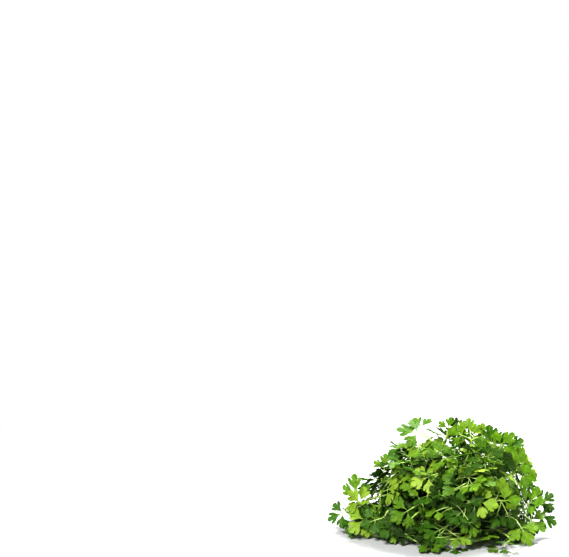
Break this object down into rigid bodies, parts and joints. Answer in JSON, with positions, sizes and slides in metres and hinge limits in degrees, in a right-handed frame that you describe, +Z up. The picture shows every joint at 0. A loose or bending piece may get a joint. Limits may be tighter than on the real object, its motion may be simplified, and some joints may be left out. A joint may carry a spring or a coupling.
{
  "type": "coriander bunch",
  "caption": "Loose mound of cut coriander sprigs, with thin forked stalks and three-part lobed leaves, lying on a flat surface.",
  "frame": {"origin": "on the surface that the mound lies on, under the middle of its box", "axes": "+Z up, +X along the mound's length, -Y towards the side that the picture shows"},
  "size_m": [0.2596, 0.166, 0.129],
  "materials": {
    "leaf": "satin, fresh green leaf and stem"
  },
  "bodies": {
    "root": {"sprig_back_left_rest": "leaf", "sprig_back_right_rest": "leaf", "sprig_crown_left": "leaf", "sprig_crown_middle": "leaf", "sprig_crown_right": "leaf", "sprig_crown_tip": "leaf", "sprig_far_right_face": "leaf", "sprig_front_middle": "leaf", "sprig_front_rest": "leaf", "sprig_front_right_rest": "leaf", "sprig_inner_01": "leaf", "sprig_inner_02": "leaf", "sprig_left_face": "leaf", "sprig_left_front": "leaf", "sprig_left_low_face": "leaf", "sprig_left_rest": "leaf", "sprig_left_shoulder": "leaf", "sprig_left_spray": "leaf", "sprig_left_upper": "leaf", "sprig_middle_face": "leaf", "sprig_outer_01": "leaf", "sprig_outer_02": "leaf", "sprig_outer_03": "leaf", "sprig_outer_04": "leaf", "sprig_outer_05": "leaf", "sprig_outer_06": "leaf", "sprig_outer_07": "leaf", "sprig_outer_08": "leaf", "sprig_outer_09": "leaf", "sprig_outer_10": "leaf", "sprig_outer_11": "leaf", "sprig_outer_12": "leaf", "sprig_outer_13": "leaf", "sprig_outer_14": "leaf", "sprig_outer_15": "leaf", "sprig_outer_16": "leaf", "sprig_outer_17": "leaf", "sprig_outer_18": "leaf", "sprig_outer_19": "leaf", "sprig_outer_20": "leaf", "sprig_outer_21": "leaf", "sprig_outer_22": "leaf", "sprig_outer_23": "leaf", "sprig_outer_24": "leaf", "sprig_outer_25": "leaf", "sprig_outer_26": "leaf", "sprig_outer_27": "leaf", "sprig_right_face": "leaf", "sprig_right_shoulder": "leaf", "sprig_right_spray": "leaf"}
  },
  "joints": []
}
